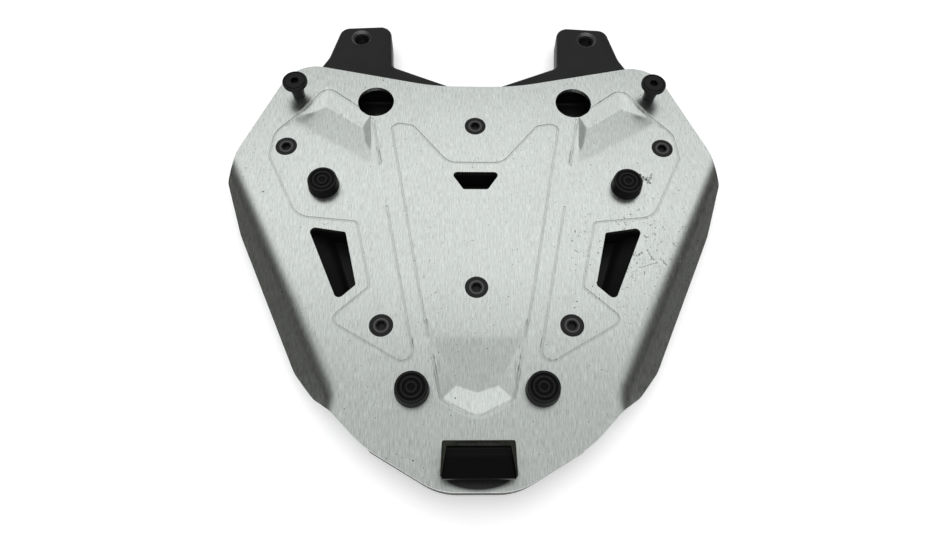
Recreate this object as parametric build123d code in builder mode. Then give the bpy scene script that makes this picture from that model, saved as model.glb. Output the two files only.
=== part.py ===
from build123d import *
import os
from math import cos, radians, sin, tan

os.makedirs("parts", exist_ok=True)

# A top case mounting plate, resting on the flat floor of its cast carrier.
# The origin is at the middle of the length and width, at the bottom.
# +Y points to the front of the motorbike, where the two bolting ears are, and +Z points up.
# Sizes are in millimetres. Every outline is given by its right half and mirrored.

# Heights
sheet = 3.0                # thickness of the aluminium top plate
carrier_height = 21.0      # from the floor's underside to the seat of the plate
rim_depth = 4.5            # thickness of the carrier's rim
floor = 4.0                # thickness of the carrier's floor
wall = 4.0                 # thickness of the carrier's walls
fit = 0.05                 # radial play of a screw or plug in its hole
seat = carrier_height
plate_top = seat + sheet

# Folded edges of the plate
fold_angle = 42.0          # slope of the side flanges below level
fold_radius = 15.0         # outer radius of the side folds
fold_x = 131.8             # where the side fold starts, at the middle of the length
fold_sweep = 26.8          # angle between a side fold and the length
fold_turn_y = -103.0       # where the fold turns out towards the edge
fold_turn_radius = 30.0    # of that turn, seen from above
fold_turn = 60.0           # angle of that turn

# Pressings
recess_depth = 3.0
line_width = 1.6
line_depth = 0.35
recess_play = 0.5          # room between a pressed recess and the carrier

# Screws that hold the plate: M6, countersunk
screw_radius = 3.0
screw_head_radius = 6.75
screw_head_land = 0.3
screw_length = 18.0
screw_socket = 5.0
screw_socket_depth = 2.6
thread_depth = 16.5
boss_radius = 8.0
plate_screws = {
    "front": (0, 71.9),
    "front_left": (-125.1, 54.5),
    "front_right": (125.1, 54.5),
    "centre": (0, -47.3),
    "rear_left": (-55.9, -71.7),
    "rear_right": (55.9, -71.7),
}

# Front pins, which the hooks of the case slide under
pin_x, pin_y = 121.3, 98.0
pin_rise = 14.0            # from the plate to the top of the pin
pin_head_radius = 8.3
pin_head_edge = 2.6
pin_neck_radius = 5.5
pin_base_radius = 3.9      # of the neck where it stands on the plate
pin_shank_radius = 3.0
pin_groove_radius = 6.9
pin_groove_width = 0.5
pin_groove_depth = 0.5
pin_socket = 5.0
pin_socket_depth = 3.0
pin_boss_radius = 9.5
pin_boss_bottom = 12.0
pin_thread_end = 1.4       # thread showing below the nut
washer_radius = 6.0
washer_bore_radius = 3.2
washer_thickness = 1.6
nut_width = 10.0
nut_height = 5.0
nut_chamfer = 0.7

# Rubber pads that the case rests on
pad_radius = 10.0
pad_height = 9.2
pad_shoulder_radius = 9.3
pad_ridge_radius = 0.9
pad_ridges = (2.8, 5.7, 8.4)
pad_neck_radius = 4.0
pad_bulb_radius = 5.6
pad_bulb_length = 5.0
rest_pads = {
    "front_left": (-97.6, 24.2),
    "front_right": (97.6, 24.2),
    "rear_left": (-36.7, -110.3),
    "rear_right": (36.7, -110.3),
}

# Latch striker at the rear, and the two screws that hold it from below
latch_rise = 18.0
latch_front, latch_rear = -141.3, -159.9
latch_front_half = 19.1    # half its width at the front
latch_flare = 0.8          # it is wider at the rear by this much on each side
latch_rear_half = latch_front_half + latch_flare
latch_foot_rear = -155.0
latch_lip = 4.5            # thickness of the hooked rear edge
latch_rim = 2.7
latch_rear_rim = 0.8       # side rims of the scoop at the rear
latch_scoop = 5.5          # depth and front radius of the scoop in its top
scoop_fall = 0.5           # fall of the scoop's floor towards the rear
latch_hook_root = 29.5
latch_round = 1.2
latch_notch_radius = 1.0
latch_slit = (23.6, 0.6, 0.8)
latch_screw_edge = 7.1     # from the striker's side at the front to its screws
latch_screw_x, latch_screw_y = latch_front_half - latch_screw_edge, -148.0
latch_screw_depth = 9.0    # thread inside the striker
cap_head_radius = 5.0
cap_head_height = 6.0
cap_socket = 5.0
cap_socket_depth = 3.0
cap_recess = 7.0
cap_recess_radius = 5.75
latch_boss_radius = 7.5

# Ears and bolt holes
ear_x, ear_y = 82.3, 153.0
ear_base = 5.0             # underside of the ears above the floor's underside
ear_line = 110.0           # the ears and their web lie in front of this line
round_line = 100.0         # the rim's edge is rounded in front of this line
rear_line = -139.8         # the rim has a skirt behind this line
skirt_base = 9.0           # underside of that skirt
ear_bore_radius = 4.5
ear_sink_radius = 7.0
ear_boss_radius = 9.0
edge_round = 3.0
foot_round = 2.0
side_boss_bottom = 3.0
side_rib_reach = 0.88      # end of a side boss's rib, as a share of the screw's distance
tool_x, tool_y = 68.0, 92.0
tool_hole_radius = 12.3
bolt_radius = 4.5
bolt_seat_radius = 11.0
bolt_seat_height = 1.5

# Openings
side_collar = 4.5          # depth of the carrier's collar around a side slot
centre_collar = 2.4
collar_width = 5.0
well_step = 1.5            # the well under a collar is this much wider
rib = 3.0
rib_height = 8.0
pan_ribs = [
    (plate_screws["front"], (24, 99.3)), (plate_screws["front"], (14, 36)),
    (plate_screws["centre"], (9, 20)), (plate_screws["centre"], plate_screws["rear_right"]),
    (plate_screws["rear_right"], (latch_screw_x, latch_screw_y)),
    (plate_screws["rear_right"], (74, -50)), ((18, 31), (110, 31)),
]

# Outlines as corners (x, y, fillet radius), from the rear round to the front
plate_outline = [
    (21.3, -165.0, 36), (62.5, -140.9, 60), (80.8, -122.3, 30), (93.0, -113.4, 20),
    (105.5, -97.9, 25), (148.4, -8.5, 60), (161.0, 29.0, 9), (156.9, 50.8, 50),
    (126.0, 126.5, 24), (27.5, 105.8, 150),
]
rim_outline = [
    (21.0, -164.6, 36), (60.5, -141.5, 6), (139.8, 50.5, 15), (129.0, 109.0, 12),
    (114.7, 116.0, 15), (104.5, 135.0, 20), (97.3, 163.3, 8), (61.3, 165.6, 8),
    (58.8, 127.2, 6), (6.3, 104.8, 20),
]
pan_mouth = [
    (22.0, -148.0, 6), (51.4, -128.0, 6), (112.5, 10.6, 6), (113.0, 58.0, 6), (122.0, 68.0, 6),
    (122.0, 80.0, 6), (107.0, 90.0, 6), (90.0, 108.2, 6), (50.0, 108.2, 6), (24.0, 99.5, 6),
]
pan_floor = [
    (22.0, -146.5, 6), (50.5, -126.5, 6), (97.2, 10.6, 6), (106.0, 58.0, 6), (118.0, 69.0, 6),
    (118.0, 79.0, 6), (106.0, 89.0, 6), (89.0, 107.7, 6), (50.5, 107.7, 6), (24.5, 99.0, 6),
]
side_slot = [(105.1, -6.0, 3), (81.2, -9.9, 1.5), (72.4, -45.8, 2), (83.0, -56.1, 3)]
centre_slot = [(7.9, 21.7, 1.5), (16.5, 34.9, 2.5)]
centre_line = [
    (20.4, -115.5, 4), (34.2, -50.0, 100), (57.0, 74.6, 5), (42.0, 71.8, 5), (18.1, 42.0, 12),
]
centre_line_tip = (0.0, -126.5, 12)
corner_line = [
    (75.0, 83.4, 0), (102.5, 104.5, 7), (117.5, 83.3, 15), (133.5, 65.5, 14), (135.3, 46.0, 10),
    (113.0, 1.2, 14), (74.6, -2.7, 4), (64.1, -47.2, 3), (87.0, -68.6, 5), (34.5, -99.6, 6),
    (56.6, 9.2, 0),
]
short_line = [(69.4, 78.0), (62.0, 40.3)]

# Recesses as faces, each through three points (x, y, share of the full depth)
front_recess = [
    ((79.7, 87.5, 0), (102.5, 104.0, 0), (101.0, 82.7, 1)),
    ((104.5, 101.1, 0), (127.4, 72.6, 0), (101.0, 82.7, 1)),
    ((70.5, 77.0, 0), (69.0, 54.0, 0), (79.6, 69.4, 1)),
    ((79.6, 69.4, 1), (101.0, 82.7, 1), (92.5, 57.5, 0)),
    ((79.6, 69.4, 0.55), (96.0, 57.5, 0), (119.0, 72.0, 0)),
]
rear_recess = [
    ((20.5, -113.0, 0), (25.5, -80.0, 0), (11.7, -107.2, 1)),
    ((-20.5, -113.0, 0), (-25.5, -80.0, 0), (-11.7, -107.2, 1)),
    ((19.1, -116.5, 0), (0.0, -125.5, 0), (11.7, -107.2, 1)),
    ((-19.1, -116.5, 0), (0.0, -125.5, 0), (-11.7, -107.2, 1)),
    ((-11.7, -107.2, 1), (11.7, -107.2, 1), (0.0, -80.0, 0)),
]


def draw_closed(corners):
    """Draw a closed line with rounded corners."""
    points = [(x, y) for x, y, radius in corners]
    FilletPolyline(*points, radius=[radius for x, y, radius in corners], close=True)


def both_halves(corners, tip=None):
    """Return the corners of a right half and of its mirror image, with a tip on the middle."""
    left = [(-x, y, radius) for x, y, radius in reversed(corners)]
    return ([tip] if tip else []) + corners + left


def mirrored(corners):
    """Return the corners of the same shape on the left."""
    return [(-x, y, radius) for x, y, radius in corners]


def upright(x, y, z=0.0):
    """Return a vertical plane through a point, with its own Y axis pointing up."""
    return Plane(origin=(x, y, z), x_dir=(1, 0, 0), z_dir=(0, -1, 0))


def recess(faces, level, play=0.0):
    """Return the space between the level and the faces of a pressed recess below it."""
    def point(x, y, share):
        return Vector(x, y, level - play - share * recess_depth)

    corners = [point(*place) for face in faces for place in face]
    reach = 2 * recess_depth
    with BuildPart() as space:
        with BuildSketch(Plane.XY.offset(level - reach)):
            with Locations(sum(corners, Vector()) / len(corners)):
                Rectangle(120, 120)
        extrude(amount=reach)
        for face in faces:
            first, second, third = [point(*place) for place in face]
            normal = (second - first).cross(third - first)
            if normal.Z < 0:
                normal = normal * -1
            split(bisect_by=Plane(origin=first, z_dir=normal), keep=Keep.TOP)
    return space.part


def hexagon(x, y, bottom, height, width):
    """Return an upright hexagon prism of a width across its flats."""
    with BuildPart() as prism:
        with BuildSketch(Plane.XY.offset(bottom)):
            with Locations((x, y)):
                RegularPolygon(radius=width / 2, side_count=6, major_radius=False)
        extrude(amount=height)
    return prism.part


def turned(x, y, profile):
    """Return a solid turned about an upright axis from a half profile of (radius, height)."""
    with BuildPart() as solid:
        with BuildSketch(upright(x, y)):
            with BuildLine():
                Polyline(*profile, close=True)
            make_face()
        revolve(axis=Axis((x, y, 0), (0, 0, 1)))
    return solid.part


# Side flange: the fold and the slope in section, swept along the fold and trimmed to the outline.
# The fold runs straight from the front and turns out to the edge at its rear end.
fold_end = 1.2 * max(x for x, y, radius in plate_outline)
fold_lean = tan(radians(fold_sweep))
fold_heading = (-sin(radians(fold_sweep)), -cos(radians(fold_sweep)), 0)
fold_across = (cos(radians(fold_sweep)), -sin(radians(fold_sweep)), 0)
flange_reach = 0.75 * fold_turn_radius / cos(radians(fold_angle)) - fold_radius / 2


def draw_fold(height):
    """Draw the line along which the right side fold starts, from the front to the rear."""
    straight = Line((fold_x + fold_end * fold_lean, fold_end, height),
                    (fold_x + fold_turn_y * fold_lean, fold_turn_y, height))
    return straight, JernArc(straight @ 1, fold_heading, fold_turn_radius, fold_turn)


with BuildPart() as side_flanges:
    with BuildLine() as fold_path:
        straight, turn = draw_fold(plate_top)
    with BuildSketch(Plane(straight @ 0, x_dir=fold_across, z_dir=fold_heading)):
        with BuildLine():
            outer_bend = CenterArc((0, -fold_radius), fold_radius, 90, -fold_angle)
            outer_face = PolarLine(outer_bend @ 1, flange_reach, -fold_angle)
            inner_bend = CenterArc((0, -fold_radius), fold_radius - sheet, 90, -fold_angle)
            inner_face = PolarLine(inner_bend @ 1, flange_reach, -fold_angle)
            Line(outer_bend @ 0, inner_bend @ 0)
            Line(outer_face @ 1, inner_face @ 1)
        make_face()
    sweep(path=fold_path.wires()[0])
    with BuildSketch(Plane.XY):
        with BuildLine():
            draw_closed(both_halves(plate_outline))
        make_face()
    extrude(amount=plate_top, mode=Mode.INTERSECT)
    mirror(about=Plane.YZ)

# Top plate: pressed and folded from one aluminium sheet
with BuildPart() as top_plate:
    # Flat middle, between the side folds
    with BuildSketch(Plane.XY.offset(seat)):
        with BuildLine():
            draw_closed(both_halves(plate_outline))
        make_face()
        with BuildLine():
            straight, turn = draw_fold(0)
            Polyline(turn @ 1, (fold_end, -fold_end), (0, -fold_end))
            Line(straight @ 0, (0, fold_end))
            mirror(about=Plane.YZ)
        make_face(mode=Mode.INTERSECT)
    extrude(amount=sheet)
    add(side_flanges.part)

    # Pressed recesses: the sheet keeps its thickness
    front_bulge = recess(front_recess, seat)
    front_hollow = recess(front_recess, plate_top)
    add(front_bulge)
    add(mirror(front_bulge, about=Plane.YZ, mode=Mode.PRIVATE))
    add(recess(rear_recess, seat))
    add(front_hollow, mode=Mode.SUBTRACT)
    add(mirror(front_hollow, about=Plane.YZ, mode=Mode.PRIVATE), mode=Mode.SUBTRACT)
    add(recess(rear_recess, plate_top), mode=Mode.SUBTRACT)

    # Coined lines
    with BuildSketch(Plane.XY.offset(plate_top)):
        with BuildLine():
            draw_closed(both_halves(centre_line, centre_line_tip))
        trace(line_width=line_width)
        with BuildLine():
            FilletPolyline(*[(x, y) for x, y, radius in corner_line],
                           radius=[radius for x, y, radius in corner_line[1:-1]])
            Line(*short_line)
        trace(line_width=line_width)
        mirror(about=Plane.YZ)
    extrude(amount=-line_depth, mode=Mode.SUBTRACT)

    # Slots and tool holes
    with BuildSketch(Plane.XY.offset(seat)):
        for outline in (both_halves(centre_slot), side_slot, mirrored(side_slot)):
            with BuildLine():
                draw_closed(outline)
            make_face()
        with Locations((tool_x, tool_y), (-tool_x, tool_y)):
            Circle(tool_hole_radius)
    extrude(amount=sheet, mode=Mode.SUBTRACT)

    # Countersinks for the screws, and plain holes for pins, pads and the latch
    with Locations(*[(x, y, plate_top) for x, y in plate_screws.values()]):
        CounterSinkHole(screw_radius + fit, screw_head_radius + screw_head_land + fit,
                        depth=2 * sheet, counter_sink_angle=90)
    with Locations((pin_x, pin_y, plate_top), (-pin_x, pin_y, plate_top)):
        Hole(pin_shank_radius + fit, depth=2 * sheet)
    with Locations(*[(x, y, plate_top) for x, y in rest_pads.values()]):
        Hole(pad_neck_radius + fit, depth=2 * sheet)
    with Locations(*[(x, latch_screw_y, plate_top) for x in (-latch_screw_x, latch_screw_x)]):
        Hole(screw_radius + fit, depth=2 * sheet)

top_plate.part.label = "top_plate"
export_step(top_plate.part, "parts/top_plate.step")

# Carrier: outside and inside of the drafted pan
with BuildPart() as pan_outside:
    for corners, height in ((pan_floor, 0), (pan_mouth, seat - rim_depth)):
        with BuildSketch(Plane.XY.offset(height)):
            with BuildLine():
                draw_closed(both_halves(corners))
            make_face()
            offset(amount=wall, kind=Kind.INTERSECTION)
    loft(ruled=True)
    fillet(pan_outside.faces().sort_by(Axis.Z)[0].edges(), radius=foot_round)
    extrude(pan_outside.faces().sort_by(Axis.Z)[-1], amount=rim_depth)

with BuildPart() as pan_inside:
    for corners, height in ((pan_floor, floor), (pan_mouth, seat - rim_depth)):
        with BuildSketch(Plane.XY.offset(height)):
            with BuildLine():
                draw_closed(both_halves(corners))
            make_face()
    loft(ruled=True)
    fillet(pan_inside.faces().sort_by(Axis.Z)[0].edges(), radius=foot_round)
    extrude(pan_inside.faces().sort_by(Axis.Z)[-1], amount=rim_depth)

# Carrier: wells under the slots, bosses and ribs, kept inside the pan
slots = (
    (side_slot, side_collar), (mirrored(side_slot), side_collar),
    (both_halves(centre_slot), centre_collar),
)
side_screws = [plate_screws["front_left"], plate_screws["front_right"]]
pan_screws = [place for place in plate_screws.values() if place not in side_screws]
root = floor / 2           # stiffeners start inside the floor
with BuildPart() as stiffeners:
    for outline, collar in slots:
        with BuildSketch(Plane.XY.offset(root)):
            with BuildLine():
                draw_closed(outline)
            make_face()
            offset(amount=collar_width)
            with BuildLine():
                draw_closed(outline)
            make_face(mode=Mode.SUBTRACT)
        extrude(amount=seat - root)
        with BuildSketch(Plane.XY.offset(root)):
            with BuildLine():
                draw_closed(outline)
            make_face()
            offset(amount=well_step)
        extrude(amount=seat - collar - root, mode=Mode.SUBTRACT)
    with BuildSketch(Plane.XY.offset(root)):
        with BuildLine():
            for start, end in pan_ribs:
                Line(start, end)
        trace(line_width=rib)
        mirror(about=Plane.YZ)
        for outline, collar in slots:
            with BuildLine():
                draw_closed(outline)
            make_face(mode=Mode.SUBTRACT)
    extrude(amount=rib_height)
    with BuildSketch(Plane.XY.offset(root)):
        with Locations(*pan_screws):
            Circle(boss_radius)
    extrude(amount=seat - root)
    with BuildSketch(Plane.XY.offset(root)):
        with Locations((tool_x, tool_y), (-tool_x, tool_y)):
            Circle(bolt_seat_radius)
    extrude(amount=floor - root + bolt_seat_height)
    add(pan_outside.part, mode=Mode.INTERSECT)

# Carrier: die cast in one piece
with BuildPart() as carrier:
    # Tops of the ears, with a rounded edge, and then the rest of the rim
    with BuildSketch(Plane.XY.offset(seat - rim_depth)):
        with BuildLine():
            draw_closed(both_halves(rim_outline))
        make_face()
        with Locations((0, round_line)):
            Rectangle(400, 400, align=(Align.CENTER, Align.MAX), mode=Mode.SUBTRACT)
    extrude(amount=rim_depth)
    ear_edges = carrier.faces().sort_by(Axis.Z)[-1].edges().sort_by(Axis.Y)
    cut_edges = [edge for edge in ear_edges if abs(edge.center().Y - round_line) < fit]
    fillet([edge for edge in ear_edges if edge not in cut_edges], radius=edge_round)
    with BuildSketch(Plane.XY.offset(seat - rim_depth)):
        with BuildLine():
            draw_closed(both_halves(rim_outline))
        make_face()
        with Locations((0, round_line)):
            Rectangle(400, 400, align=(Align.CENTER, Align.MIN), mode=Mode.SUBTRACT)
    extrude(amount=rim_depth)

    # Skirts of the ears and of the rear edge, hollow from below
    for line, side, bottom in ((ear_line, Align.MAX, ear_base), (rear_line, Align.MIN, skirt_base)):
        for inset, kind in ((0, Mode.ADD), (-wall, Mode.SUBTRACT)):
            with BuildSketch(Plane.XY.offset(bottom)):
                with BuildLine():
                    draw_closed(both_halves(rim_outline))
                make_face()
                with Locations((0, line)):
                    Rectangle(400, 400, align=(Align.CENTER, side), mode=Mode.SUBTRACT)
                offset(amount=inset, kind=Kind.INTERSECTION)
            extrude(amount=seat - rim_depth - bottom, mode=kind)

    # Bosses and ribs of the ears
    with BuildSketch(Plane.XY.offset(ear_base)):
        with BuildLine():
            Line((ear_x, ear_y), (ear_x, ear_line))
        trace(line_width=rib)
        with Locations((ear_x, ear_y)):
            Circle(ear_boss_radius)
        mirror(about=Plane.YZ)
    extrude(amount=seat - rim_depth - ear_base)

    # Bosses under the rim for the pins and the two front screws at the sides
    with BuildSketch(Plane.XY.offset(pin_boss_bottom)):
        with Locations((pin_x, pin_y), (-pin_x, pin_y)):
            Circle(pin_boss_radius)
    extrude(amount=seat - pin_boss_bottom - rim_depth / 2)
    with BuildSketch(Plane.XY.offset(side_boss_bottom)):
        with BuildLine():
            for x, y in side_screws:
                Line((x, y), (x * side_rib_reach, y))
        trace(line_width=rib)
        with Locations(*side_screws):
            Circle(boss_radius)
    extrude(amount=seat - side_boss_bottom - rim_depth / 2)

    # Pan, opened from above, with its stiffeners
    add(pan_outside.part)
    add(pan_inside.part, mode=Mode.SUBTRACT)
    add(stiffeners.part)

    # Bosses of the latch screws
    with BuildSketch(Plane.XY):
        with Locations((latch_screw_x, latch_screw_y), (-latch_screw_x, latch_screw_y)):
            Circle(latch_boss_radius)
    extrude(amount=seat)

    # Room for the pressed recesses of the plate
    front_relief = recess(front_recess, seat, recess_play)
    add(front_relief, mode=Mode.SUBTRACT)
    add(mirror(front_relief, about=Plane.YZ, mode=Mode.PRIVATE), mode=Mode.SUBTRACT)

    # Bores
    with Locations(*[(x, y, plate_top) for x, y in plate_screws.values()]):
        CounterSinkHole(screw_radius + fit, screw_head_radius + screw_head_land + fit,
                        depth=sheet + thread_depth, counter_sink_angle=90)
    with Locations((ear_x, ear_y, seat), (-ear_x, ear_y, seat)):
        CounterSinkHole(ear_bore_radius, ear_sink_radius, depth=carrier_height,
                        counter_sink_angle=90)
    with Locations((pin_x, pin_y, seat), (-pin_x, pin_y, seat)):
        Hole(pin_shank_radius + fit, depth=carrier_height)
    with Locations((tool_x, tool_y, seat), (-tool_x, tool_y, seat)):
        Hole(bolt_radius, depth=carrier_height)
    with Locations((latch_screw_x, latch_screw_y, seat), (-latch_screw_x, latch_screw_y, seat)):
        Hole(screw_radius + fit, depth=carrier_height)
    with BuildSketch(Plane.XY):
        with Locations((latch_screw_x, latch_screw_y), (-latch_screw_x, latch_screw_y)):
            Circle(cap_recess_radius)
    extrude(amount=cap_recess, mode=Mode.SUBTRACT)

carrier.part.label = "carrier"
export_step(carrier.part, "parts/carrier.step")

# Front pins with their washers and nuts
pin_top = plate_top + pin_rise
pin_underhead = pin_top - pin_head_edge
washer_bottom = pin_boss_bottom - washer_thickness
nut_bottom = washer_bottom - nut_height
pin_end = nut_bottom - pin_thread_end
pin_edge = 0.6             # rounding of the pin's head, as a chamfer
for side, x in (("left", -pin_x), ("right", pin_x)):
    with BuildPart() as front_pin:
        add(turned(x, pin_y, [
            (0, pin_end), (pin_shank_radius - pin_edge, pin_end),
            (pin_shank_radius, pin_end + pin_edge), (pin_shank_radius, plate_top),
            (pin_base_radius, plate_top), (pin_neck_radius, pin_underhead),
            (pin_head_radius - pin_edge / 2, pin_underhead),
            (pin_head_radius, pin_underhead + pin_edge / 2),
            (pin_head_radius, pin_top - pin_edge), (pin_head_radius - pin_edge, pin_top),
            (0, pin_top),
        ]))
        add(hexagon(x, pin_y, pin_top - pin_socket_depth, pin_socket_depth, pin_socket),
            mode=Mode.SUBTRACT)
        with BuildSketch(Plane.XY.offset(pin_top)):
            with Locations((x, pin_y)):
                Circle(pin_groove_radius + pin_groove_width / 2)
                Circle(pin_groove_radius - pin_groove_width / 2, mode=Mode.SUBTRACT)
        extrude(amount=-pin_groove_depth, mode=Mode.SUBTRACT)
    front_pin.part.label = f"front_pin_{side}"
    export_step(front_pin.part, f"parts/front_pin_{side}.step")

    with BuildPart() as pin_washer:
        with BuildSketch(Plane.XY.offset(washer_bottom)):
            with Locations((x, pin_y)):
                Circle(washer_radius)
                Circle(washer_bore_radius, mode=Mode.SUBTRACT)
        extrude(amount=washer_thickness)
    pin_washer.part.label = f"pin_washer_{side}"
    export_step(pin_washer.part, f"parts/pin_washer_{side}.step")

    nut_corner = nut_width / 2 / cos(radians(30))
    with BuildPart() as pin_nut:
        add(hexagon(x, pin_y, nut_bottom, nut_height, nut_width))
        add(turned(x, pin_y, [
            (0, nut_bottom), (nut_corner - nut_chamfer, nut_bottom),
            (nut_corner, nut_bottom + nut_chamfer / 2),
            (nut_corner, washer_bottom - nut_chamfer / 2),
            (nut_corner - nut_chamfer, washer_bottom), (0, washer_bottom),
        ]), mode=Mode.INTERSECT)
        with Locations((x, pin_y, washer_bottom)):
            Hole(pin_shank_radius + fit, depth=nut_height)
    pin_nut.part.label = f"pin_nut_{side}"
    export_step(pin_nut.part, f"parts/pin_nut_{side}.step")

# Rubber pads: a ribbed button above the plate and a plug pulled through it
pad_top = plate_top + pad_height
pad_face = pad_top - pad_ridge_radius
for name, (x, y) in rest_pads.items():
    with BuildPart() as rest_pad:
        with BuildSketch(upright(x, y)):
            with BuildLine():
                Polyline((0, pad_face), (0, seat - pad_bulb_length),
                         (pad_neck_radius / 2, seat - pad_bulb_length), (pad_bulb_radius, seat),
                         (pad_neck_radius, seat), (pad_neck_radius, plate_top),
                         (pad_radius, plate_top), (pad_shoulder_radius, pad_face), close=True)
            make_face()
            with Locations(*[(radius, pad_face) for radius in pad_ridges]):
                Circle(pad_ridge_radius)
        revolve(axis=Axis((x, y, 0), (0, 0, 1)))
    rest_pad.part.label = f"rest_pad_{name}"
    export_step(rest_pad.part, f"parts/rest_pad_{name}.step")

# Countersunk screws
cone_bottom = plate_top - screw_head_land - (screw_head_radius - screw_radius)
screw_end = plate_top - screw_length
screw_point = 0.6
for name, (x, y) in plate_screws.items():
    with BuildPart() as plate_screw:
        add(turned(x, y, [
            (0, plate_top), (0, screw_end), (screw_radius - screw_point, screw_end),
            (screw_radius, screw_end + screw_point), (screw_radius, cone_bottom),
            (screw_head_radius, plate_top - screw_head_land), (screw_head_radius, plate_top),
        ]))
        add(hexagon(x, y, plate_top - screw_socket_depth, screw_socket_depth, screw_socket),
            mode=Mode.SUBTRACT)
    plate_screw.part.label = f"plate_screw_{name}"
    export_step(plate_screw.part, f"parts/plate_screw_{name}.step")

# Latch striker: a block with a hooked rear edge and a scoop that is open to the rear
latch_top = plate_top + latch_rise
scoop_front = latch_front - latch_rim
scoop_floor = latch_top - latch_scoop
with BuildPart() as latch_scoop_space:
    with BuildSketch(Plane.YZ):
        with BuildLine():
            Polyline((scoop_front - latch_scoop, scoop_floor),
                     (latch_rear - 2, scoop_floor - scoop_fall),
                     (latch_rear - 2, latch_top + 2), (scoop_front, latch_top + 2),
                     (scoop_front, latch_top))
            RadiusArc((scoop_front, latch_top), (scoop_front - latch_scoop, scoop_floor),
                      -latch_scoop)
        make_face()
    extrude(amount=2 * latch_rear_half, both=True)
    with BuildSketch(Plane.XY.offset(plate_top)):
        with BuildLine():
            Polyline((-latch_front_half + latch_rim, scoop_front + 1),
                     (latch_front_half - latch_rim, scoop_front + 1),
                     (latch_rear_half - latch_rear_rim, latch_rear),
                     (latch_rear_half - latch_rear_rim, latch_rear - 2),
                     (-latch_rear_half + latch_rear_rim, latch_rear - 2),
                     (-latch_rear_half + latch_rear_rim, latch_rear), close=True)
        make_face()
    extrude(amount=latch_rise + 2, mode=Mode.INTERSECT)

with BuildPart() as latch_striker:
    with BuildSketch(Plane.XY.offset(plate_top)):
        with BuildLine():
            Polyline((-latch_front_half, latch_front), (latch_front_half, latch_front),
                     (latch_rear_half, latch_rear), (-latch_rear_half, latch_rear), close=True)
        make_face()
        fillet(vertices(), radius=latch_round)
    extrude(amount=latch_rise)
    fillet(latch_striker.faces().sort_by(Axis.Z)[-1].edges(), radius=latch_round)
    with BuildSketch(Plane.YZ):
        with BuildLine():
            Polyline((latch_foot_rear, plate_top), (latch_foot_rear, latch_hook_root),
                     (latch_rear, scoop_floor - scoop_fall - latch_lip),
                     (latch_rear - 2, scoop_floor - scoop_fall - latch_lip),
                     (latch_rear - 2, plate_top), close=True)
        make_face()
    extrude(amount=2 * latch_rear_half, both=True, mode=Mode.SUBTRACT)
    add(latch_scoop_space.part, mode=Mode.SUBTRACT)
    slit_length, slit_width, slit_depth = latch_slit
    with BuildSketch(Plane.XY.offset(latch_top)):
        with Locations((0, latch_front - latch_rim / 2)):
            Rectangle(slit_length, slit_width)
            Circle(latch_notch_radius)
    extrude(amount=-slit_depth, mode=Mode.SUBTRACT)
    with BuildSketch(Plane.XY.offset(plate_top)):
        with Locations((latch_screw_x, latch_screw_y), (-latch_screw_x, latch_screw_y)):
            Circle(screw_radius + fit)
    extrude(amount=latch_screw_depth, mode=Mode.SUBTRACT)

latch_striker.part.label = "latch_striker"
export_step(latch_striker.part, "parts/latch_striker.step")

# Socket screws that hold the latch striker from below
cap_bottom = cap_recess - cap_head_height
latch_screw_end = plate_top + latch_screw_depth - screw_point
for side, x in (("left", -latch_screw_x), ("right", latch_screw_x)):
    with BuildPart() as latch_screw:
        add(turned(x, latch_screw_y, [
            (0, cap_bottom), (cap_head_radius - screw_point, cap_bottom),
            (cap_head_radius, cap_bottom + screw_point), (cap_head_radius, cap_recess),
            (screw_radius, cap_recess), (screw_radius, latch_screw_end - screw_point),
            (screw_radius - screw_point, latch_screw_end), (0, latch_screw_end),
        ]))
        add(hexagon(x, latch_screw_y, cap_bottom, cap_socket_depth, cap_socket),
            mode=Mode.SUBTRACT)
    latch_screw.part.label = f"latch_screw_{side}"
    export_step(latch_screw.part, f"parts/latch_screw_{side}.step")
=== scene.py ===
from math import cos, hypot, pi, radians, sin, tan

import bpy
from mathutils import Matrix, Vector


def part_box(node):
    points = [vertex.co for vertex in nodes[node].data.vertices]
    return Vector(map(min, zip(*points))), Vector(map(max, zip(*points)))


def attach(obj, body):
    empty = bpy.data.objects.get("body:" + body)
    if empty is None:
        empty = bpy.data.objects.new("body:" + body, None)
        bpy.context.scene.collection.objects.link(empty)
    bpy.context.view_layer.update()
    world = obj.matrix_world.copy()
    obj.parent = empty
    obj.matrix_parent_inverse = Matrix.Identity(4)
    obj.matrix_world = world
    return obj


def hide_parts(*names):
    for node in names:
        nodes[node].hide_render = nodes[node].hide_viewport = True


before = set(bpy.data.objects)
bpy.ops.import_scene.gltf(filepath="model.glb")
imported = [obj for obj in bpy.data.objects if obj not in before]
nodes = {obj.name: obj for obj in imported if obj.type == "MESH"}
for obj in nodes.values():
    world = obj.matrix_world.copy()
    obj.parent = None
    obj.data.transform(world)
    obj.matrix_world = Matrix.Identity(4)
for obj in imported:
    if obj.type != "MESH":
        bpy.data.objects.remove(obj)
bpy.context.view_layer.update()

MM = 0.001

# Places and sizes that follow the solids, in millimetres
PLATE_TOP = 24.0
FRONT_RECESS, FRONT_FLOOR, REAR_RECESS = (98, 80), (95, 78), (0, -104)
TOOL_HOLE, SIDE_SCREW = (68, 92), (125.1, 54.5)
EAR_BORE, EAR_REACH = (82.3, 153), 40.0
EAR_RING, EAR_MOUTH = 5.4, 7.05

# Side flanges: the line where they fold, the turn at its rear end, and their shape
FOLD_X, FOLD_SWEEP = 131.8, radians(26.8)
TURN_Y, TURN_RADIUS = -103.0, 30.0
BUILT_SLOPE, BUILT_RADIUS = radians(42), 15.0
SEEN_SLOPE, SEEN_RADIUS = radians(32), 18.0

# Height of a pad over the sheet, as a share of the built one
SEEN_PAD = 0.78

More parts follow.
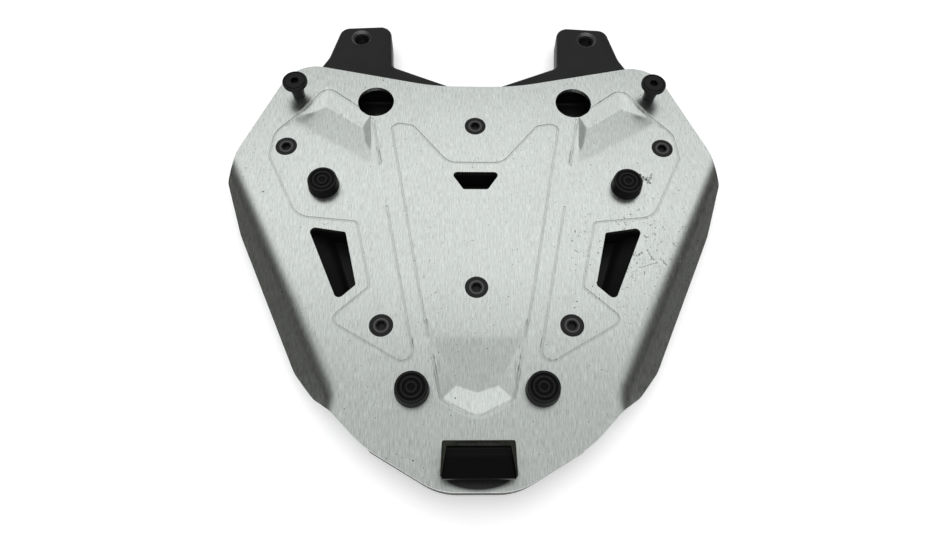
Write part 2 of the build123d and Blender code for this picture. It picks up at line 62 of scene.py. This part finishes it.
# Scoop in the latch: its front edge and half width there, the top, the front wall's radius,
# and how fast its side walls part
SCOOP_FRONT, SCOOP_HALF, SCOOP_TOP = -144.0, 16.4, 42.0
SCOOP_RADIUS, SCOOP_FLARE = 5.5, 0.17
# How near a point of that wall lies to its circle, and how far from the wall's two ends
WALL_TOUCH, WALL_END = 0.05, 0.02

# Coined grooves: share of painted shade in them, and the depths between which it lies
GROOVE_SHADE, GROOVE_UNSHADED, GROOVE_FULL, GROOVE_DEEPEST = 0.16, 0.05, 0.25, 0.6

# Lines along which a recess floor runs out into the sheet, and a wall that gets no painted shade
FRONT_RUNOUT = (72, 45.5, 117, 74)
REAR_RUNOUT = (-25, -79.5, 25, -79.5)
REAR_FLOOR = (-20, -84, 20, -84)
FRONT_WALL = (74.5, 48, 76, 80)

# Wear on the sheet. Spots are x, y and radius, strokes are x, y, x, y, width and strength
SPOTS = (
    (-135.9, 19.2, 0.7), (-34.8, -148.7, 0.6), (107.7, 33.2, 1.3), (109.6, 31.6, 1.0),
    (111.3, 29.6, 1.2), (113.6, 27.1, 0.9), (109.0, 28.6, 0.7), (115.0, 31.0, 0.6),
)
STROKES = (
    (-2.2, 41.5, -1.9, 37.6, 0.5, 0.9), (-96.5, -3.6, -94.0, -5.2, 0.5, 0.8),
    (-94.0, -5.2, -92.2, -3.4, 0.5, 0.8), (58.0, -11.0, 59.5, -16.0, 0.9, 0.7),
    (60.5, -22.0, 63.5, -24.0, 1.0, 0.8), (100.5, -34.0, 111.0, -30.5, 0.9, 0.7),
    (113.0, -28.0, 116.5, -32.0, 1.2, 1.0), (108.5, 30.0, 114.5, 31.5, 2.2, 1.0),
    (112.0, 27.0, 115.5, 34.0, 1.8, 1.0), (99.0, -26.0, 102.5, -24.0, 1.6, 1.0),
    (106.0, -22.0, 109.0, -29.0, 1.3, 0.8), (122.5, -16.5, 124.0, -19.0, 1.7, 1.0),
    (105.5, -12.0, 106.5, -13.5, 1.3, 1.0), (125.0, -22.5, 126.0, -26.0, 1.1, 0.8),
)
# Middle of the pitted area on the right
PITTED = (104, -20)
# Painted shadow and reflection of the latch on the sheet behind it: x, y and half sizes
LATCH_SHADOW = (0.0, -155.5, 21.5, 9.5)

SHEET_LEVEL = 0.80
SHEET_TINT = (0.965, 1.0, 0.972)

# Camera: the point it looks at and its distance from it, both in millimetres, and its angles
AIM = (-0.86, -34.25, PLATE_TOP)
AIM_DISTANCE = 410.0
TURN, TILT, ROLL = -0.048697, 1.12313, 0.046014
LENS, SENSOR = 25.54, 36.0

# Light: radiance, size and place of the lamps in metres, and the world's levels
SOFT_RADIANCE, SOFT_SIZE = 0.42, (2.03, 0.576)
SOFT_DISTANCE, SOFT_RISE = 1.3, radians(59.5)
FILL_RADIANCE, FILL_SIZE, FILL_HEIGHT = 1.74, (3.0, 3.0), 2.5
SKY_RISE = radians(62)
SKY_DARK, SKY_PALE = (0.022, 0.020, 0.016, 1.0), (0.545, 0.560, 0.552, 1.0)
SKY_BEHIND = 0.8
FLOOR_RADIUS, FLOOR_LEVEL, FLOOR_GLOW = 6.0, 0.86, 0.30


# Nodes of a tree, with short calls for the kinds used here
class Tree:
    """A shader or world tree whose calls take numbers or sockets alike."""

    def __init__(self, node_tree):
        self.nodes = node_tree.nodes
        self.links = node_tree.links

    def add(self, kind, **settings):
        node = self.nodes.new(kind)
        for key, value in settings.items():
            setattr(node, key, value)
        return node

    def join(self, value, socket):
        if isinstance(value, bpy.types.NodeSocket):
            self.links.new(value, socket)
        else:
            socket.default_value = value

    def split(self, vector):
        node = self.add("ShaderNodeSeparateXYZ")
        self.join(vector, node.inputs[0])
        return node.outputs[:3]

    def math(self, operation, first, second=0.0):
        node = self.add("ShaderNodeMath", operation=operation)
        self.join(first, node.inputs[0])
        self.join(second, node.inputs[1])
        return node.outputs[0]

    def vector(self, operation, first, second):
        node = self.add("ShaderNodeVectorMath", operation=operation)
        self.join(first, node.inputs[0])
        self.join(second, node.inputs["Scale" if operation == "SCALE" else 1])
        gives_number = operation in ("DOT_PRODUCT", "DISTANCE")
        return node.outputs["Value" if gives_number else "Vector"]

    def chain(self, operation, first, *others):
        for other in others:
            first = self.math(operation, first, other)
        return first

    def most(self, *values):
        return self.chain("MAXIMUM", *values)

    def times(self, *values):
        return self.chain("MULTIPLY", *values)

    def plus(self, *values):
        return self.chain("ADD", *values)

    def ramp(self, value, low, high, to_low=0.0, to_high=1.0, kind="LINEAR"):
        node = self.add("ShaderNodeMapRange", clamp=True, interpolation_type=kind)
        for name, number in (("Value", value), ("From Min", low), ("From Max", high),
                             ("To Min", to_low), ("To Max", to_high)):
            self.join(number, node.inputs[name])
        return node.outputs[0]

    def blend(self, factor, a, b):
        node = self.add("ShaderNodeMix", data_type="RGBA")
        self.join(factor, node.inputs[0])
        self.join(a, node.inputs[6])
        self.join(b, node.inputs[7])
        return node.outputs[2]


class Finish(Tree):
    """A material. Its places and sizes are in millimetres, in the model's frame."""

    def __init__(self, name):
        self.material = bpy.data.materials.new(name)
        self.material.use_nodes = True
        super().__init__(self.material.node_tree)
        self.shader = self.nodes["Principled BSDF"]
        self.place = self.add("ShaderNodeTexCoord").outputs["Object"]
        self.spot = self.vector("SCALE", self.place, 1 / MM)
        self.x, self.y, self.z = self.split(self.spot)
        self.side = self.math("ABSOLUTE", self.x)

    def noise(self, scale, detail=2.0, rough=0.5, stretch=(1, 1, 1)):
        """Noise whose scale is per metre."""
        mapping = self.add("ShaderNodeMapping")
        self.join(self.place, mapping.inputs["Vector"])
        self.join(stretch, mapping.inputs["Scale"])
        node = self.add("ShaderNodeTexNoise")
        self.join(mapping.outputs[0], node.inputs["Vector"])
        self.join(scale, node.inputs["Scale"])
        self.join(detail, node.inputs["Detail"])
        self.join(rough, node.inputs["Roughness"])
        return node.outputs["Fac"]

    def varied(self, noise, low, high):
        """A number that follows the middle of a noise's range."""
        return self.ramp(noise, 0.3, 0.7, low, high)

    def distance(self, x, y, twins=False):
        """Distance from an upright axis, or from the nearer of it and its mirror image."""
        dx = self.math("SUBTRACT", self.side if twins else self.x, x)
        dy = self.math("SUBTRACT", self.y, y)
        return self.math("SQRT", self.plus(self.times(dx, dx), self.times(dy, dy)))

    def spot_mark(self, x, y, radius):
        return self.ramp(self.distance(x, y), radius * 0.7, radius, 1.0, 0.0)

    def near(self, place, full, none):
        """One near a place or its mirror image, and zero away from both."""
        return self.ramp(self.distance(*place, twins=True), full, none, 1.0, 0.0)

    def far(self, place, none, full):
        return self.ramp(self.distance(*place, twins=True), none, full)

    def stroke(self, x1, y1, x2, y2, width, strength=1.0, twins=False):
        """A straight line, full along its middle and gone at half its width."""
        spot = self.spot
        if twins:
            folded = self.add("ShaderNodeCombineXYZ")
            self.join(self.side, folded.inputs[0])
            self.join(self.y, folded.inputs[1])
            spot = folded.outputs[0]
        run = Vector((x2 - x1, y2 - y1, 0))
        away = self.vector("SUBTRACT", spot, (x1, y1, 0))
        away = self.vector("MULTIPLY", away, (1, 1, 0))
        share = self.vector("DOT_PRODUCT", away, run / run.length_squared)
        share = self.math("MINIMUM", self.math("MAXIMUM", share, 0.0), 1.0)
        gap = self.vector("DISTANCE", away, self.vector("SCALE", run, share))
        return self.ramp(gap, width * 0.2, width * 0.5, strength, 0.0)

    def band(self, ends, width, twins=False):
        """A line that is full nearly to its sides."""
        line = self.stroke(*ends, width, 8.0, twins)
        return self.math("MINIMUM", line, 1.0)

    def oval(self, x, y, half_x, half_y):
        across = self.times(self.math("SUBTRACT", self.x, x), 1 / half_x)
        along = self.times(self.math("SUBTRACT", self.y, y), 1 / half_y)
        squares = self.plus(self.times(across, across), self.times(along, along))
        return self.ramp(squares, 0.7, 1.1, 1.0, 0.0)

    def between(self, value, start, full, end, gone):
        """One from full to end, and zero before start and past gone."""
        return self.times(self.ramp(value, start, full), self.ramp(value, end, gone, 1.0, 0.0))

    def dimmed(self, level, mask, share):
        """The level, less that share of it where the mask is one."""
        return self.times(level, self.math("SUBTRACT", 1.0, self.times(mask, share)))

    def bump(self, height, depth, strength, rounding):
        """Relief over edges that look rounded by a radius."""
        bevel = self.add("ShaderNodeBevel", samples=8)
        self.join(self.times(rounding, MM), bevel.inputs["Radius"])
        node = self.add("ShaderNodeBump")
        self.join(strength, node.inputs["Strength"])
        self.join(depth * MM, node.inputs["Distance"])
        self.join(height, node.inputs["Height"])
        self.join(bevel.outputs[0], node.inputs["Normal"])
        self.join(node.outputs[0], self.shader.inputs["Normal"])

    def coat(self, **values):
        for key, value in values.items():
            self.join(value, self.shader.inputs[key.replace("_", " ")])


def grey(level):
    return (level, level, level, 1.0)


# Brushed aluminium sheet: fine grain along Y, wear, painted shade in the grooves, a painted shadow
# and reflection behind the latch, and soft edges in the pressings
def brushed_sheet():
    sheet = Finish("brushed_sheet")
    grain = sheet.noise(1.0, detail=4.0, rough=0.65, stretch=(1900, 190, 0))
    streaks = sheet.noise(1.0, detail=3.0, rough=0.6, stretch=(1100, 45, 0))
    cloud = sheet.noise(16.0, detail=4.0)
    level = sheet.plus(sheet.varied(grain, -0.20, 0.20), sheet.varied(streaks, -0.06, 0.06),
                       sheet.varied(cloud, -0.02, 0.02), SHEET_LEVEL)

    # dark pits, closest together in one area, with spots and broken scratches
    pits = sheet.noise(520.0, detail=2.0, rough=0.7)
    fewer = sheet.ramp(sheet.distance(*PITTED), 15, 70, 0.0, 0.065)
    specks = sheet.ramp(sheet.math("SUBTRACT", pits, fewer), 0.635, 0.665)
    spots = sheet.most(*[sheet.spot_mark(*spot) for spot in SPOTS])
    scuffs = sheet.most(*[sheet.stroke(*stroke) for stroke in STROKES])
    broken = sheet.ramp(sheet.noise(950.0, detail=3.0, rough=0.7), 0.42, 0.54, 0.1, 1.0)
    wear = sheet.most(sheet.times(specks, 0.9), spots, sheet.times(scuffs, broken))
    level = sheet.dimmed(level, wear, 0.85)

    # a little painted shade in the coined grooves, but none in the recesses and the side folds
    outwards = sheet.math("SUBTRACT", sheet.side, sheet.times(sheet.y, tan(FOLD_SWEEP)))
    flat = sheet.math("LESS_THAN", outwards, FOLD_X - 1)
    low = sheet.ramp(sheet.z, PLATE_TOP - GROOVE_FULL, PLATE_TOP - GROOVE_UNSHADED, 1.0, 0.0)
    not_deep = sheet.math("GREATER_THAN", sheet.z, PLATE_TOP - GROOVE_DEEPEST)
    pressed = sheet.most(sheet.near(FRONT_FLOOR, 24, 25), sheet.near(REAR_RECESS, 21, 22),
                         sheet.band(REAR_FLOOR, 20), sheet.band(FRONT_RUNOUT, 15, twins=True),
                         sheet.band(FRONT_WALL, 15, twins=True))
    groove = sheet.times(flat, low, not_deep, sheet.math("SUBTRACT", 1.0, pressed))
    # the grooves are darkened by painted shade
    level = sheet.dimmed(level, groove, GROOVE_SHADE)
    # painted shadow and reflection of the latch, darkening the sheet behind it
    latch_shadow = sheet.oval(*LATCH_SHADOW)
    level = sheet.dimmed(level, latch_shadow, 0.975)

    colour = sheet.add("ShaderNodeCombineColor")
    for socket, share in zip(colour.inputs, SHEET_TINT):
        sheet.join(sheet.times(level, share), socket)
    across = sheet.add("ShaderNodeCombineXYZ")
    across.inputs[0].default_value = 1.0
    # the painted shadow behind the latch also lowers the metal share there
    sheet.coat(Base_Color=colour.outputs[0], Anisotropic=0.3, Tangent=across.outputs[0],
               Metallic=sheet.dimmed(1.0, sheet.most(wear, latch_shadow), 0.7),
               Roughness=sheet.ramp(grain, 0.25, 0.75, 0.26, 0.37))

    # the pressed faces meet in soft bends, their floors run out wide, other edges are crisp
    front = sheet.times(sheet.near(FRONT_RECESS, 26, 32), sheet.far(TOOL_HOLE, 16, 20),
                        sheet.far(SIDE_SCREW, 9, 13))
    bends = sheet.most(front, sheet.near(REAR_RECESS, 22, 26))
    runout = sheet.most(sheet.stroke(*REAR_RUNOUT, 26), sheet.stroke(*FRONT_RUNOUT, 22, twins=True))
    rounding = sheet.most(sheet.ramp(bends, 0.0, 1.0, 0.12, 2.2),
                          sheet.ramp(runout, 0.0, 1.0, 0.12, 7.5))
    sheet.bump(grain, 0.004, 0.35, rounding)
    return sheet.material


# Black cast carrier, with the mouths of its ear bores machined bare
def cast_black():
    cast = Finish("cast_black")
    fine = cast.noise(1400.0, detail=3.0)
    cloud = cast.noise(45.0)
    away = cast.distance(*EAR_BORE, twins=True)
    bare = cast.times(cast.math("LESS_THAN", away, EAR_MOUTH),
                      cast.math("GREATER_THAN", away, EAR_RING))
    # the bottom of the pan gets less light through the sheet's openings
    lit = cast.most(cast.math("LESS_THAN", away, EAR_REACH), cast.ramp(cast.z, 7, 10, 0.35, 1.0))
    paint = cast.blend(cast.varied(cloud, 0.0, 1.0), grey(0.009), grey(0.013))
    paint = cast.blend(lit, grey(0.003), paint)
    cast.coat(Base_Color=cast.blend(bare, paint, grey(0.30)), Metallic=bare,
              Roughness=cast.varied(fine, 0.42, 0.52), Specular_IOR_Level=0.22)
    cast.bump(fine, 0.03, 0.35, 0.6)
    return cast.material


# Rubber pad: painted highlights on its ridges, paler than the painted shade in the grooves between
# them
def ringed_pad():
    pad = Finish("pad_rubber")
    built_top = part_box("rest_pad_front_left")[1].z / MM
    top = PLATE_TOP + (built_top - PLATE_TOP) * SEEN_PAD
    fine = pad.noise(900.0, detail=3.0)
    # painted highlight on the ridges' tops and painted shade in the grooves, chosen by height
    ridge_highlight = pad.ramp(pad.z, top - 0.35, top - 0.1)
    pad.coat(Base_Color=pad.blend(ridge_highlight, grey(0.0012), grey(0.012)),
             Roughness=pad.varied(fine, 0.34, 0.44), Specular_IOR_Level=0.12)
    pad.bump(fine, 0.02, 0.5, 0.08)
    return pad.material


# Turned pin: a fine dark ring in the face of its head, and an edge that is rubbed paler
def turned_pin():
    pin = Finish("pin_black")
    low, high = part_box("front_pin_right")
    centre = (low + high) / 2 / MM
    radius = (high.x - low.x) / 2 / MM
    away = pin.distance(centre.x, centre.y, twins=True)
    ring = pin.between(away, 5.9, 6.1, 6.5, 6.7)
    rim = pin.ramp(away, radius - 0.9, radius - 0.5)
    face = pin.blend(rim, grey(0.0045), grey(0.012))
    fine = pin.noise(1500.0, detail=3.0)
    pin.coat(Base_Color=pin.blend(ring, face, grey(0.0004)),
             Roughness=pin.varied(fine, 0.30, 0.38), Specular_IOR_Level=0.22)
    pin.bump(fine, 0.01, 0.5, 0.3)
    return pin.material


# Black latch block: its outside is a little worn, and the scoop in its top is painted darker as
# shade, its floor more than its front wall
def latch_black():
    latch = Finish("latch_black")
    wall_at = SCOOP_HALF + SCOOP_FLARE * SCOOP_FRONT + 0.3
    part = latch.plus(latch.side, latch.times(latch.y, SCOOP_FLARE))
    in_scoop = latch.times(latch.math("LESS_THAN", part, wall_at),
                           latch.math("LESS_THAN", latch.y, SCOOP_FRONT - 0.2),
                           latch.ramp(latch.z, SCOOP_TOP - 1.0, SCOOP_TOP - 0.5, 1.0, 0.0))
    worn = latch.ramp(latch.noise(260.0, detail=3.0), 0.35, 0.65)
    outside = latch.blend(worn, (0.014, 0.015, 0.011, 1.0), (0.026, 0.027, 0.022, 1.0))
    # painted shade in the scoop, deepest on its floor, with its front wall painted lighter where
    # light falls on it
    scoop_end = SCOOP_FRONT - SCOOP_RADIUS
    scoop_shade = latch.blend(latch.ramp(latch.y, scoop_end, scoop_end + 2), grey(0.0006), grey(0.004))
    fine = latch.noise(700.0, detail=3.0)
    latch.coat(Base_Color=latch.blend(in_scoop, outside, scoop_shade),
               Roughness=latch.varied(fine, 0.16, 0.24), Specular_IOR_Level=0.1)
    latch.bump(fine, 0.01, 0.5, 0.5)
    return latch.material


# Dark screw with a lighter turned ring round its socket
def screw_dark(name):
    screw = Finish(name + "_finish")
    low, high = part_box(name)
    centre = (low + high) / 2 / MM
    away = screw.distance(centre.x, centre.y)
    turning = screw.math("SINE", screw.times(away, 2 * pi / 0.12))
    ring = screw.between(away, 3.3, 3.6, 4.4, 4.7)
    screw.coat(Base_Color=screw.blend(ring, grey(0.022), grey(0.085)), Metallic=0.6,
               Roughness=screw.varied(screw.noise(900.0), 0.34, 0.44), Specular_IOR_Level=0.2)
    screw.bump(turning, 0.004, 0.25, 0.2)
    return screw.material


# Plain zinc of the hidden screws, washers and nuts
def plain_steel():
    steel = Finish("fastener_steel")
    cloud = steel.noise(300.0, detail=3.0)
    steel.coat(Base_Color=steel.blend(steel.varied(cloud, 0.0, 1.0), grey(0.42), grey(0.52)),
               Metallic=1.0, Roughness=steel.varied(cloud, 0.28, 0.4))
    steel.bump(cloud, 0.01, 0.3, 0.2)
    return steel.material


def past_fold(x, y):
    """Distance from the start of the right side fold, outwards across it."""
    turn_x = FOLD_X + TURN_Y * tan(FOLD_SWEEP)
    behind = -(x - turn_x) * sin(FOLD_SWEEP) - (y - TURN_Y) * cos(FOLD_SWEEP)
    if behind > 0:
        centre_x = turn_x + TURN_RADIUS * cos(FOLD_SWEEP)
        centre_y = TURN_Y - TURN_RADIUS * sin(FOLD_SWEEP)
        return TURN_RADIUS - hypot(x - centre_x, y - centre_y)
    return (x - FOLD_X - y * tan(FOLD_SWEEP)) * cos(FOLD_SWEEP)


def drop(away, slope, radius):
    """Fall of the sheet's outer face past the start of a fold."""
    if away <= 0:
        return 0.0
    bend = radius * sin(slope)
    if away < bend:
        return radius - (radius ** 2 - away ** 2) ** 0.5
    return radius * (1 - cos(slope)) + (away - bend) * tan(slope)


def flatter_flange(x, y, z):
    away = past_fold(abs(x), y)
    return x, y, z + drop(away, BUILT_SLOPE, BUILT_RADIUS) - drop(away, SEEN_SLOPE, SEEN_RADIUS)


def lower_pad(x, y, z):
    return x, y, z + (SEEN_PAD - 1) * max(0.0, z - PLATE_TOP)


def hollow_scoop(x, y, z):
    """Turn the rounded front wall of the latch's scoop over, so that it is hollow."""
    back, down = SCOOP_FRONT - y, SCOOP_TOP - z
    on_wall = abs(hypot(back, SCOOP_RADIUS - down) - SCOOP_RADIUS) < WALL_TOUCH
    if not on_wall or min(back, down) < WALL_END:
        return x, y, z
    side = (x > 0) - (x < 0)
    return x + side * SCOOP_FLARE * (down - back), SCOOP_FRONT - down, SCOOP_TOP - back


def reshaped(name, move):
    """A copy of a node's mesh that stands for it, each point put where move(x, y, z) says."""
    shape = nodes[name].data.copy()
    for vertex in shape.vertices:
        vertex.co = Vector(move(*(vertex.co / MM))) * MM
    piece = bpy.data.objects.new(name + "_seen", shape)
    bpy.context.scene.collection.objects.link(piece)
    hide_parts(name)
    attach(piece, "root")
    return piece


# The photographed flanges are a little flatter than the built ones, the pads lower, and the
# scoop in the latch is hollow at its front
shown = dict(nodes)
shown["top_plate"] = reshaped("top_plate", flatter_flange)
shown["latch_striker"] = reshaped("latch_striker", hollow_scoop)
for name in nodes:
    if name.startswith("rest_pad"):
        shown[name] = reshaped(name, lower_pad)

pin_black = turned_pin()
pad_rubber = ringed_pad()
steel = plain_steel()
for name, node in shown.items():
    if name == "top_plate":
        material = brushed_sheet()
    elif name == "carrier":
        material = cast_black()
    elif name == "latch_striker":
        material = latch_black()
    elif name.startswith("front_pin"):
        material = pin_black
    elif name.startswith("rest_pad"):
        material = pad_rubber
    elif name.startswith("plate_screw"):
        material = screw_dark(name)
    else:
        material = steel
    node.data.materials.clear()
    node.data.materials.append(material)

# Floor: pale enough to be white in plain light, and it keeps the shadow
bpy.ops.mesh.primitive_circle_add(vertices=96, radius=FLOOR_RADIUS, fill_type="NGON",
                                  location=(0, 0, 0))
floor = bpy.context.object
floor.name = "floor"
floor_white = Finish("floor_white")
floor_white.coat(Base_Color=grey(FLOOR_LEVEL), Roughness=0.9)
rays = floor_white.add("ShaderNodeLightPath")
seen = floor_white.most(rays.outputs["Is Camera Ray"], rays.outputs["Is Glossy Ray"])
glow = floor_white.add("ShaderNodeEmission")
floor_white.join(floor_white.times(seen, FLOOR_GLOW), glow.inputs["Strength"])
both = floor_white.add("ShaderNodeAddShader")
floor_white.join(floor_white.shader.outputs[0], both.inputs[0])
floor_white.join(glow.outputs[0], both.inputs[1])
floor_white.join(both.outputs[0], floor_white.nodes["Material Output"].inputs["Surface"])
floor.data.materials.append(floor_white.material)


# Soft studio light: a wide tilted softbox in front, and an even fill from above
def area(name, size, radiance, place, in_gloss=True):
    data = bpy.data.lights.new(name, "AREA")
    data.shape = "RECTANGLE"
    data.size, data.size_y = size
    data.energy = radiance * pi * data.size * data.size_y
    lamp = bpy.data.objects.new(name, data)
    lamp.location = place
    lamp.rotation_euler = (-Vector(place)).to_track_quat("-Z", "Y").to_euler()
    lamp.visible_glossy = in_gloss
    bpy.context.scene.collection.objects.link(lamp)


area("softbox", SOFT_SIZE, SOFT_RADIANCE,
     (0.0, SOFT_DISTANCE * cos(SOFT_RISE), SOFT_DISTANCE * sin(SOFT_RISE)))
area("fill", FILL_SIZE, FILL_RADIANCE, (0.0, 0.0, FILL_HEIGHT), in_gloss=False)

# World: pale in front and overhead, dark to the sides, which the flanges mirror, and pale
# again behind, which the sheet mirrors when it is seen from the front
world = bpy.data.worlds.new("studio")
bpy.context.scene.world = world
world.use_nodes = True
sky = Tree(world.node_tree)
where = sky.add("ShaderNodeTexCoord").outputs["Generated"]
x, y, z = sky.split(where)
facing = sky.vector("DOT_PRODUCT", where, (0.0, cos(SKY_RISE), sin(SKY_RISE)))
ahead = sky.ramp(facing, 0.15, 0.65, kind="SMOOTHSTEP")
middle = sky.ramp(sky.math("ABSOLUTE", x), 0.42, 0.70, 1.0, 0.0, kind="SMOOTHSTEP")
behind = sky.ramp(y, -0.25, -0.6, 0.0, SKY_BEHIND, kind="SMOOTHSTEP")
pale = sky.most(sky.times(ahead, middle), behind)
sky.join(sky.blend(pale, SKY_DARK, SKY_PALE), sky.nodes["Background"].inputs["Color"])

# Camera, at the photograph's angle
turn = Matrix.Rotation(TURN, 3, "Z")
forward = turn @ Vector((0, cos(TILT), -sin(TILT)))
right = turn @ Vector((1, 0, 0))
up = turn @ Vector((0, sin(TILT), cos(TILT)))
rolled_right = cos(ROLL) * right + sin(ROLL) * up
rolled_up = cos(ROLL) * up - sin(ROLL) * right
camera_data = bpy.data.cameras.new("camera")
camera_data.lens = LENS
camera_data.sensor_width = SENSOR
camera_data.clip_start = 0.01
camera = bpy.data.objects.new("camera", camera_data)
axes = Matrix((rolled_right, rolled_up, -forward)).transposed().to_4x4()
camera.matrix_world = Matrix.Translation((Vector(AIM) - forward * AIM_DISTANCE) * MM) @ axes
bpy.context.scene.collection.objects.link(camera)
bpy.context.scene.camera = camera

bpy.context.scene.view_settings.view_transform = "Standard"
